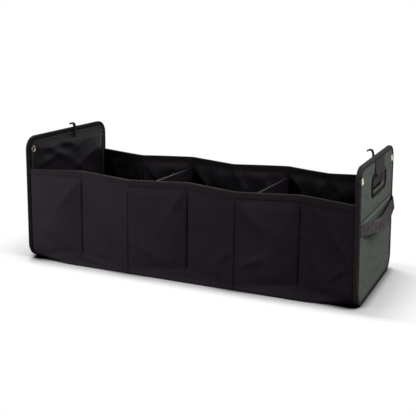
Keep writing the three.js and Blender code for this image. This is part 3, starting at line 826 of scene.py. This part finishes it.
# %% Places of the folds
FOLD_DEPTH = 40 * MM
WALL_INSET = 3 * MM
SPAN = 2 * (INNER - GAP)
PITCH = SPAN / 6
SHIFTS = {FRONT: (-15 * MM, 0, 2 * MM), BACK: (6 * MM, 0, -16 * MM)}
SLANT = math.cos(math.atan2(FOLD_DEPTH, PITCH))
KNEE = FLOOR + GAP + CLOTH
CREASE = KNEE + CLOTH
GUSSET_RISE = 6 * MM
LINING_DEPTH = 4 * MM
WALL_DEPTH = 5 * MM
WALL_EDGE = WALL_TOP - TAPE - GAP


def fold_places(side):
    """Where the seven folds of a wall stand along X."""
    x = -SPAN / 2 + PITCH * np.arange(7)
    x[1::2] += SHIFTS[side]
    return x


def drawn_in(y, z):
    """How far the right panel's inner face stands in from a straight one: a plane in y and z."""
    return (y + HALF_WIDTH) * math.tan(TURN) + z * math.tan(LEAN) / math.cos(TURN) - FLARE


def fold_depth(x, folds, softness):
    """The zigzag's depth, its corners softened by half the slope change times sqrt(d^2 + r^2) - |d|."""
    depths = np.where(np.arange(7) % 2 == 1, FOLD_DEPTH, 0)
    depth = np.interp(x, folds, depths)
    slopes = np.diff(depths) / np.diff(folds)
    for fold, bend in zip(folds[1:], np.diff(slopes) / 2):
        depth = depth + bend * (np.sqrt((x - fold) ** 2 + softness**2) - np.abs(x - fold))
    return depth


def wall_columns(count=34):
    """Places along the six boards, crowded near the folds: t - 0.145 sin(2 pi t) within each board."""
    t = np.arange(count) / count
    u = t - 0.145 * np.sin(2 * np.pi * t)
    return np.append((np.arange(6)[:, None] + u).ravel(), 6.0)


def wall_place(side, place, depth, z, softness=3 * MM):
    """X and Y of a wall at a place counted in folds, so deep behind its outer face and so high.

    The last board ends where it meets the leaning right panel, but keeps its plane."""
    folds = fold_places(side)
    end_slope = FOLD_DEPTH / (folds[6] - folds[5])
    y_end = side * (HALF_WIDTH - WALL_INSET - depth / SLANT)
    cut = drawn_in(y_end, z) / (1 + side * end_slope * math.tan(TURN))
    x = np.interp(place, np.arange(7), folds) - np.clip(place - 5, 0, 1) * cut
    return x, y_end - side * fold_depth(x, folds, softness)


print("boards", round(PITCH / MM, 1), "mm wide, seen straight on")

# %% Rows of a wall sheet
FOOT_ROWS = 15
UPPER_ROWS = 54
CORNER_RUN = 100 * MM


def wall_rows():
    """Each row as shares of four corner points: foot, knee, crease and top. Both bends are
    parabolas, and the rows above them are even steps."""
    foot, knee, bend, top = np.eye(4)
    t = np.linspace(0, 1, (FOOT_ROWS - 1) // 2)[:, None]
    rise = np.linspace(0.05, 1, UPPER_ROWS)[1:, None]
    return np.concatenate([
        foot[None],
        parabola(0.4 * foot + 0.6 * knee, knee, 0.75 * knee + 0.25 * bend, t),
        parabola(0.4 * knee + 0.6 * bend, bend, 0.95 * bend + 0.05 * top, t),
        (1 - rise) * bend + rise * top,
    ])


def corner_share(x):
    """Nearness to an end panel: 1 at the panel, falling as the power 1.6 to 0 at the end of the run."""
    return np.clip((np.abs(x) - (SPAN / 2 - CORNER_RUN)) / CORNER_RUN, 0, 1) ** 1.6


def wall_grid(side, depth, tucked, bulge):
    """Grid of a wall sheet: each row mixes its four corner points. Near the end panels the foot follows
    their round corner, y = centre + (r - inset) sin a and z = r - (r - foot) cos a."""
    place = wall_columns()[None, :]
    odd = np.abs((place + 1) % 2 - 1)
    if tucked:
        heights = [GAP + depth, KNEE, CREASE + GUSSET_RISE * odd, WALL_EDGE]
    else:
        heights = [FLOOR + GAP, (FLOOR + BOTTOM_RADIUS) / 2, BOTTOM_RADIUS, WALL_EDGE]
    y_edge = side * (HALF_WIDTH - WALL_INSET - depth / SLANT)
    x, y, z = 0, 0, 0
    for number, (share, height) in enumerate(zip(wall_rows().T[..., None], heights)):
        x_here, y_here = wall_place(side, place, depth, height)
        x = x + share * x_here
        y = y + share * (y_edge if tucked and number < 2 else y_here)
        z = z + share * height
    row = np.arange(FOOT_ROWS + UPPER_ROWS - 1)[:, None]
    angle = np.clip(row / FOOT_ROWS, 0, 1) * np.pi / 2
    rise = np.clip((row - FOOT_ROWS) / (UPPER_ROWS - 2), 0, 1)
    straight = WALL_EDGE - BOTTOM_RADIUS
    round_z = BOTTOM_RADIUS - (BOTTOM_RADIUS - heights[0]) * np.cos(angle) + straight * rise
    centre = side * (HALF_WIDTH - BOTTOM_RADIUS)
    round_y = centre + (wall_place(side, place, depth, round_z)[1] - centre) * np.sin(angle)
    share = corner_share(np.interp(place, np.arange(7), fold_places(side)))
    y = (1 - share) * y + share * round_y
    z = (1 - share) * z + share * round_z
    height = np.clip((z - BOTTOM_RADIUS) / straight, 0, 1)
    return np.stack(np.broadcast_arrays(x, y + side * bulge(side, place, height, z), z), -1)


# %% Creases of the walls
# A crease: its board, where it starts and where it ends, each across and up, and its height in mm.
OUTER_CREASES = (
    (1, 0.03, 0.98, 0.42, 0.5, 2.2), (1, 0.3, 0.36, 0.75, 0.02, -2.6), (4, 0.05, 0.9, 0.5, 0.5, 1.8),
    (5, 0.03, 0.98, 0.5, 0.6, -2.2), (5, 0.04, 0.42, 0.36, 0.02, -3), (2, 0.95, 0.95, 0.6, 0.45, 1.6),
    (3, 0.04, 0.8, 0.35, 0.3, 1.4), (0, 0.95, 0.85, 0.5, 0.5, 1.4), (3, 0.95, 0.3, 0.6, 0.05, 1.8),
    (0, 0.1, 0.3, 0.5, 0.08, 1.5), (4, 0.1, 0.1, 0.55, 0.25, 1.5), (2, 0.15, 0.2, 0.5, 0.03, 1.6),
    (5, 0.9, 0.3, 0.6, 0.08, 2), (5, 0.55, 0.75, 0.9, 0.35, 1.6),
)
INNER_CREASES = (
    (0, 0.1, 0.95, 0.6, 0.45, 3), (0, 0.9, 0.9, 0.4, 0.4, 2.5), (1, 0.05, 0.9, 0.5, 0.55, 2.4),
    (1, 0.9, 0.95, 0.55, 0.6, 2.2), (2, 0.1, 0.85, 0.6, 0.5, 3.4), (2, 0.85, 0.95, 0.5, 0.7, 2.8),
    (3, 0.05, 0.95, 0.3, 0.5, 3.2), (3, 0.5, 0.9, 0.85, 0.5, 2.6), (4, 0.1, 0.9, 0.45, 0.6, 3.4),
    (4, 0.9, 0.85, 0.55, 0.5, 3), (5, 0.1, 0.9, 0.5, 0.55, 2.6), (5, 0.9, 0.8, 0.5, 0.6, 2.2),
)


def creases(place, height, lines):
    """Sum of the slanting creases, each on its own board."""
    board_here = np.minimum(place.astype(int), 5)
    total = 0
    for number, *ends, size in lines:
        ridge = crease(place - number, height, ends[:2], ends[2:], size * MM, 0.05)
        total = total + np.where(board_here == number, ridge, 0)
    return total


def pressed_fold(place):
    """A fold is stitched flat: a groove exp(-(d/1.7)^2) between two ridges 4.5 mm to its sides."""
    distance = np.abs(place - np.round(place)) * PITCH
    groove = np.exp(-((distance / (1.7 * MM)) ** 2))
    ridge = np.exp(-(((distance - 4.5 * MM) / (2.4 * MM)) ** 2))
    return (0.8 * MM * ridge - 1.7 * MM * groove) * np.where(np.abs(place - 3) < 2.6, 1, 0)


# %% Swell of the walls
def outer_bulge(side, place, height, z):
    """Slack over each board with its creases, never less than 0 so that no board pokes out, the
    pressed folds, and small puckers above the foot."""
    below_hem = smooth_step((HEM_LOW - z) / (22 * MM))
    above_foot = smooth_step((z - CREASE) / (30 * MM))
    across = np.sin(np.pi * (place % 1))
    swell = 2.6 * MM * across**0.6 + 3.8 * MM * ripple(place * PITCH, z, 11 + side, 0.11) * across
    pucker = 3.2 * MM * ripple(place * PITCH, 0.4 * z, 61 + side, 0.04) * across**0.5
    near_foot = np.exp(-(((z - CREASE) / (22 * MM)) ** 2)) * smooth_step((z - KNEE) / (4 * MM))
    loose = np.maximum(swell + 3.1 * creases(place, height, OUTER_CREASES), 0.3 * MM * across)
    return below_hem * (loose * above_foot + pucker * near_foot + pressed_fold(place))


def inner_bulge(side, place, height, z):
    """The lining hangs looser than the outer cloth, towards the inside, and is held at the folds."""
    below_hem = smooth_step((HEM_LOW - z) / (18 * MM))
    across = np.sin(np.pi * (place % 1))
    loose = 1.2 * MM + 6 * MM * ripple(place * PITCH, z, 21 + side, 0.08)
    groove = 1.8 * MM * np.exp(-((np.abs(place - np.round(place)) * PITCH / (2 * MM)) ** 2))
    return below_hem * (groove - loose * across**0.6 - 1.7 * creases(place, height, INNER_CREASES))


for wall, side in WALLS.items():
    for name, depth, tucked, swell, material, slot, node, tall in (
        ("outer_cloth", 0, True, outer_bulge, wall_cloth, "wall_cloth", "cloth", WALL_TOP + 20 * MM),
        ("inner_cloth", LINING_DEPTH, False, inner_bulge, lining_cloth, "lining_cloth", "lining", WALL_TOP),
    ):
        front, back = (wall_grid(side, at, tucked, swell) for at in (depth, depth + CLOTH))
        cloth = stand_in(shell(f"{wall}_{name}", front, back, material, sharp=80), f"{wall}_{node}")
        print(cloth.name, len(cloth.data.polygons), "quads")

# %% [markdown]
# ## Top bindings of the walls
#
# The top edge of each wall is closed with folded tape: the same U as on the panels, standing on
# its head, along the zigzag of the folds.

# %% Wall top bindings
def hem_points(side, section):
    """The section, depth and height, at every column of the wall, with a slow wave in its height."""
    place = wall_columns()[:, None]
    x, y = wall_place(side, place, section[:, 0], section[:, 1] + 0 * place, 4 * MM)
    wave = 0.8 * MM * (ripple(place, 0 * place, 31 + side, 1.5) - 1)
    return np.stack([x, y, section[:, 1] + wave], -1)


hem_front, hem_rear = -GAP - TAPE, WALL_DEPTH + GAP + TAPE
hem_section = folded(
    [(hem_front, HEM_LOW), (hem_front, WALL_TOP), (hem_rear, WALL_TOP), (hem_rear, HEM_LOW)],
    [(1, 0), (1, -1), (-1, -1), (-1, 0)], TAPE, 2.2 * MM, 1.5 * MM,
)
for wall, side in WALLS.items():
    hem = carried(f"{wall}_hem_tape", hem_points(side, hem_section), hem_tape, sharp=60)
    stand_in(hem, f"{wall}_top_binding")
print("top bindings at", round(WALL_TOP / MM), "mm")

# %% [markdown]
# ## Dividers and floor
#
# A divider is a board in a sleeve of black cloth that is folded over its top edge. The floor cloth
# lies over the six base boards and dips into the slits where the organizer folds flat.

# %% Dividers
for number in (1, 2):
    node = f"divider_{number}_sleeve"
    (x_low, x_high), (y_low, y_high), (z_low, z_high) = (extent(node, axis) for axis in "xyz")
    half, mid = (x_high - x_low) / 2, z_low + 0.5 * z_high
    corners = [(-half, z_low), (-half, mid), (-half, z_high), (half, z_high), (half, mid), (half, z_low)]
    steps = [(1, 0), (1, 0), (1, -1), (-1, -1), (-1, 0), (-1, 0)]
    aside, z = folded(corners, steps, CLOTH, 1.8 * MM, 1.2 * MM).T
    y = np.linspace(y_low, y_high, 90)[:, None]
    loose = np.sin(np.pi * (y - y_low) / (y_high - y_low))
    loose = loose * np.sin(np.pi * np.clip((z - z_low) / (z_high - z_low), 0, 1))
    out = np.sign(aside) * 2.2 * MM * loose * ripple(y, z, 40 + number, 0.12)
    points = np.stack(np.broadcast_arrays((x_low + x_high) / 2 + aside + out, y, z), -1)
    sleeve = carried(f"divider_{number}_cloth", points, lining_cloth, sharp=60)
    stand_in(sleeve, node)
print("dividers", round((z_high - z_low) / MM), "mm high")

# %% Floor, base boards and the cloth under them
def base_layer(name, node, material, margin=0, x_range=None, swell=None):
    """Flat layer y = v * reach(x): the reach goes from the full half width to the end panels' round
    corner, half width - r + sqrt(r^2 - (r - z)^2) there. The right edge follows the leaning panel."""
    low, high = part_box(node)
    left, right = x_range or (-SPAN / 2, None)
    v = np.linspace(-1, 1, 60)[:, None]
    radius = BOTTOM_RADIUS
    at_panel = HALF_WIDTH - radius + math.sqrt(radius**2 - (radius - low.z) ** 2) - WALL_INSET - margin
    reach = high.y - margin
    end = SPAN / 2 - drawn_in(v * reach, high.z) if right is None else right + 0 * v
    x = left + np.linspace(0, 1, 150)[None, :] * (end - left)
    share = corner_share(x)
    y = v * (reach * (1 - share) + min(at_panel, reach) * share)
    top = np.stack(np.broadcast_arrays(x, y, high.z + (swell(x, y) if swell else 0 * x)), -1)
    return stand_in(shell(name, top, top * (1, 1, 0) + (0, 0, low.z), material), node)


def floor_swell(x, y):
    """Soft waves that die out at the slits between the boards, exp(-(d / 4 mm)^2), and at the ends."""
    slits = sum(np.exp(-(((x - k * PITCH) / (4 * MM)) ** 2)) for k in range(-2, 3))
    ends = smooth_step((SPAN / 2 - np.abs(x)) / (30 * MM))
    return 1.6 * MM * ripple(x, y, 50, 0.12) * ends * (1 - slits)


floor_cloth = base_layer("floor_cloth", "floor_lining", lining_cloth, swell=floor_swell)
under_cloth = base_layer("under_cloth", "base_cloth", base_cloth)
for name, number, cut in (("first", 1, 0), ("last", 6, 12 * MM)):
    left, right = extent(f"base_board_{number}", "x")
    ends = (left, right - cut)
    base_layer(f"{name}_base_board", f"base_board_{number}", board, 2 * MM, ends)
print("floor", round(SPAN / MM), "mm long")

# %% [markdown]
# ## Stitches
#
# A stitch is a small lens of thread sunk half into the cloth. One lens of 5 by 6 points is copied
# to every place of a row by adding whole arrays: along, across and out of the cloth.

# %% A row of stitches
ring = np.linspace(0, 2 * np.pi, 6, endpoint=False)
tilt = np.linspace(0.12, np.pi - 0.12, 5)[:, None]
girth = np.sin(tilt)
LENS = np.stack(np.broadcast_arrays(np.cos(tilt), girth * np.cos(ring), girth * np.sin(ring)), -1)


def stitches(name, rows, material=black_thread, length=3.2 * MM, pitch=4.4 * MM, thick=0.55 * MM):
    """Places a lens every pitch along each line of points; `rows` holds (points, outward) pairs."""
    points = []
    for line, out in rows:
        distance = np.append(0, np.cumsum(np.linalg.norm(np.diff(line, axis=0), axis=1)))
        at = np.arange(pitch / 2, distance[-1], pitch)
        behind, centre, ahead = (
            np.stack([np.interp(at + step, distance, line[:, k]) for k in range(3)], -1)
            for step in (-pitch / 4, 0, pitch / 4)
        )
        along = ahead - behind
        along /= np.maximum(np.linalg.norm(along, axis=1, keepdims=True), 1e-9)
        out = np.broadcast_to(out, centre.shape)
        axes = np.stack([along * length / 2, np.cross(along, out) * thick, out * thick], 1)
        points.append((centre[:, None, None] + np.einsum("rck,ski->srci", LENS, axes)).reshape(-1, 3))
    points = np.concatenate(points)
    count = LENS.shape[0] * LENS.shape[1]
    ends = np.array([[0, 1, 2, 3], [0, 3, 4, 5]])
    faces = np.concatenate([cells(5, 6, wrap_cols=True)[0], ends[:, ::-1], ends + count - len(ring)])
    many = np.arange(len(points) // count)[:, None, None]
    faces = (faces + count * many).reshape(-1, 4)
    stand_in(make_mesh(name, points, faces, np.zeros((len(faces), 4, 2)), material, sharp=180))
    print(name, len(many), "stitches")


# %% Stitches on the panels
def panel_line(side, out, inset):
    """A closed line round a panel at a distance in from its edge."""
    points, outward = panel_edge
    line = np.vstack([points - outward * inset, points[:1] - outward[:1] * inset])
    return on_panel(side, out, line[:, 0], line[:, 1])


def out_of(side):
    """The direction out of a panel's face."""
    near, far = on_panel(side, np.array([0.0, 1.0]), 0.0, 0.0)
    return far - near


y = np.linspace(-0.155, 0.155, 60)
z = SEAM - 6 * MM + 0 * y
for panel, side in SIDES.items():
    out = out_of(side)
    stitches(f"{panel}_binding_stitches", [
        (panel_line(side, OUTER + 0.6 * MM, OUTER_LEG - 2 * MM), out),
        (panel_line(side, INNER, INNER_LEG - 2 * MM), -out),
    ])
    seam_row = (on_panel(side, COVER_FACE + lower_swell(y, z), y, z), out)
    stitches(f"{panel}_seam_stitches", [seam_row], pale_thread, 3.9 * MM, 4.4 * MM, 1.1 * MM)
    # The dark row at the seam is painted shade, standing in for the shadow in the fold.
    joint_row = (on_panel(side, COVER_FACE + 0.3 * MM, y, SEAM), out)
    stitches(f"{panel}_seam_painted_shade", [joint_row], seam_painted_shade, 4.2 * MM, 4 * MM, 0.9 * MM)

# %% Stitches along the walls and at the strap ends
for wall, side in WALLS.items():
    spots = np.array([(hem_front, HEM_LOW + 2.5 * MM), (hem_rear, HEM_LOW + 2.5 * MM)])
    front, back = np.moveaxis(hem_points(side, spots), 1, 0)
    rows = [(front, (0, side, 0)), (back, (0, -side, 0))]
    stitches(f"{wall}_hem_stitches", rows)

low, high = STRAP_LOW + 2.5 * MM, STRAP_HIGH - 2.5 * MM
near, far = STRAP_REACH - 1.5 * MM, STRAP_REACH - 8 * MM
y = np.array([near, far, far, near, near])
z = np.array([low, low, high, high, low])
for panel, side in SIDES.items():
    rows = [(on_panel(side, strap_seat + WEB / 2, end * y, z), out_of(side)) for end in (-1, 1)]
    stitches(f"{panel}_strap_stitches", rows, black_thread, 2.2 * MM, 3 * MM, 0.45 * MM)

# %% [markdown]
# ## The boards
#
# Nobody sees the boards, so they stay as the packed model has them. Only their material is new. It
# reads Object coordinates, since a packed node has no map of its own.

# %% Material of the packed boards
kept = [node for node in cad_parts.values() if not node.hide_render]
for node in kept:
    node.data.materials.clear()
    node.data.materials.append(board)
print("packed pieces kept:", len(kept))

# %% [markdown]
# ## Camera, floor and light
#
# The camera stands in front, to the right and a little above, with a longish lens. The floor is
# white paper. For the camera, metal and glass it glows, fully from 5 cm in front and 17 cm beside
# the object, so that the paper is white and the soft shadow stays. Ambient occlusion darkens the
# line of contact. For the lamps it is plain grey, so it throws little light back.

# %% Camera
AZIMUTH, ELEVATION, ROLL = (math.radians(angle) for angle in (24.71, 13.448, 0.842))
TARGET = Vector((-0.0093, -0.0005, 0.1316))
DISTANCE = 2.0921
level = math.cos(ELEVATION)
back = Vector((math.sin(AZIMUTH) * level, -math.cos(AZIMUTH) * level, math.sin(ELEVATION)))
camera_data = bpy.data.cameras.new("camera")
camera_data.lens = 77.22
camera_data.sensor_width = 36
camera = bpy.data.objects.new("camera", camera_data)
camera.location = TARGET + back * DISTANCE
camera.rotation_euler = ((-back).to_track_quat("-Z", "Y") @ Quaternion((0, 0, 1), ROLL)).to_euler()
bpy.context.scene.collection.objects.link(camera)
bpy.context.scene.camera = camera
print("camera", [round(v, 3) for v in camera.location], "lens", camera_data.lens)

# %% White paper
PAPER = 60
paper_mesh = bpy.data.meshes.new("paper")
paper_corners = [(-PAPER, -PAPER), (PAPER, -PAPER), (PAPER, PAPER), (-PAPER, PAPER)]
paper_mesh.from_pydata([(x, y, -0.2 * MM) for x, y in paper_corners], [], [(0, 1, 2, 3)])
paper = bpy.data.objects.new("paper", paper_mesh)
bpy.context.scene.collection.objects.link(paper)

white = Finish("white paper", (0.3, 0.3, 0.3), 1.0)
(paper_x, paper_y, _), _ = white.parts("Object")
beside = (paper_x.size() - 0.4).at_least(0) * (1 / 0.17)
before = (paper_y.size() - HALF_WIDTH).at_least(0) * (1 / 0.05)
glow_share = white.rise((beside * beside + before * before).root(), 0.0, 1.0, "SMOOTHSTEP")
open_sky = white.node("AmbientOcclusion", {"samples": 16}, {"Distance": 0.045}, "AO")
contact = white.rise(open_sky, 0.44, 0.76)
shadowed = white.node("BsdfDiffuse", {}, {"Color": contact * 0.82})
glow = white.node("Emission", {}, {"Strength": contact})
bounce = white.node("BsdfDiffuse", {}, {"Color": (0.15, 0.15, 0.15, 1)})
looked_at = white.node("MixShader", {}, {0: glow_share, 1: shadowed, 2: glow})
surface = white.node("MixShader", {}, {0: white.seen(), 1: bounce, 2: looked_at})
white.tree.nodes.remove(white.shader)
white.plug(white.tree.nodes["Material Output"].inputs["Surface"], surface)
paper_mesh.materials.append(white.material)
print("paper", 2 * PAPER, "m wide")

# %% World and lamps
world = bpy.data.worlds.new("studio")
bpy.context.scene.world = world
world.use_nodes = True
sky = Nodes(world.node_tree)
background = sky.tree.nodes["Background"]
background.inputs["Color"].default_value = (1, 1, 1, 1)
sky.plug(background.inputs["Strength"], sky.node("MapRange", {}, {"Value": sky.seen(), "To Min": 0.07}))

for name, place, aim, size, power in (
    ("overhead box", (-0.6, 1.1, 3.2), (0, 0, 0), (1.6, 1.6), 40),
    ("right box", (1.75, -0.6, 1.8), (0, 0, 0.1), (1.2, 1.2), 34),
    ("side box", (2.2, 0.1, 1.2), (0, 0, 0.1), (1.2, 1.2), 11),
    ("low left box", (-0.62, -0.75, 0.32), (-0.2, 0, 0.1), (0.4, 0.35), 4.1),
    ("back box", (-1.6, 1.5, 1.3), (0, 0, 0.1), (1.0, 1.0), 24),
):
    light = bpy.data.lights.new(name, "AREA")
    light.shape = "RECTANGLE"
    light.size, light.size_y = size
    light.energy = power
    lamp = bpy.data.objects.new(name, light)
    lamp.location = place
    lamp.rotation_euler = (Vector(aim) - Vector(place)).to_track_quat("-Z", "Y").to_euler()
    bpy.context.scene.collection.objects.link(lamp)
bpy.context.scene.view_settings.view_transform = "Standard"
print("lamps", [light.name for light in bpy.data.lights])

# %% [markdown]
# ## The size of the result
#
# Cloth may stand a little proud of the packed model.
